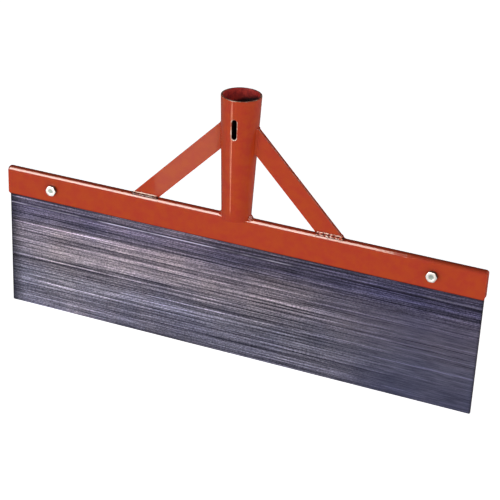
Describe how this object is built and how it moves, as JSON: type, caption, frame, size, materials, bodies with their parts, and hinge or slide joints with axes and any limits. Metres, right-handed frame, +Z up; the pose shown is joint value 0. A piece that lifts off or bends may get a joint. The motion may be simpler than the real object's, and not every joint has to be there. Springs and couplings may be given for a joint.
{
  "type": "floor scraper head",
  "caption": "Wide straight steel blade bolted into a folded sheet clamp, with a conical handle socket braced by flat bars, for scraping and levelling floors by hand.",
  "frame": {"origin": "middle of the blade's lower (working) edge, straight below the socket's axis", "axes": "+X along the blade, to the right seen from the bolt-head side; -Y is the side of the bolt heads; +Z up along the handle socket's axis, out of its mouth"},
  "size_m": [0.502, 0.039, 0.2775],
  "materials": {
    "paint": "glossy orange-red enamel over welded sheet steel",
    "blade_steel": "blued spring steel, rolled and ground lengthways",
    "zinc_plate": "bright zinc plate"
  },
  "bodies": {
    "root": {"blade_clamp": "paint", "blade": "blade_steel", "handle_socket": "paint", "socket_seam_weld": "paint", "brace_left": "paint", "brace_right": "paint", "socket_weld_left": "paint", "socket_weld_right": "paint", "foot_weld_left_front": "paint", "foot_weld_left_back": "paint", "foot_weld_right_front": "paint", "foot_weld_right_back": "paint", "top_weld_left_front": "paint", "top_weld_left_back": "paint", "top_weld_right_front": "paint", "top_weld_right_back": "paint", "hex_bolts": "zinc_plate", "flat_washers": "zinc_plate", "spring_washers": "zinc_plate", "hex_nuts": "zinc_plate"}
  },
  "joints": []
}
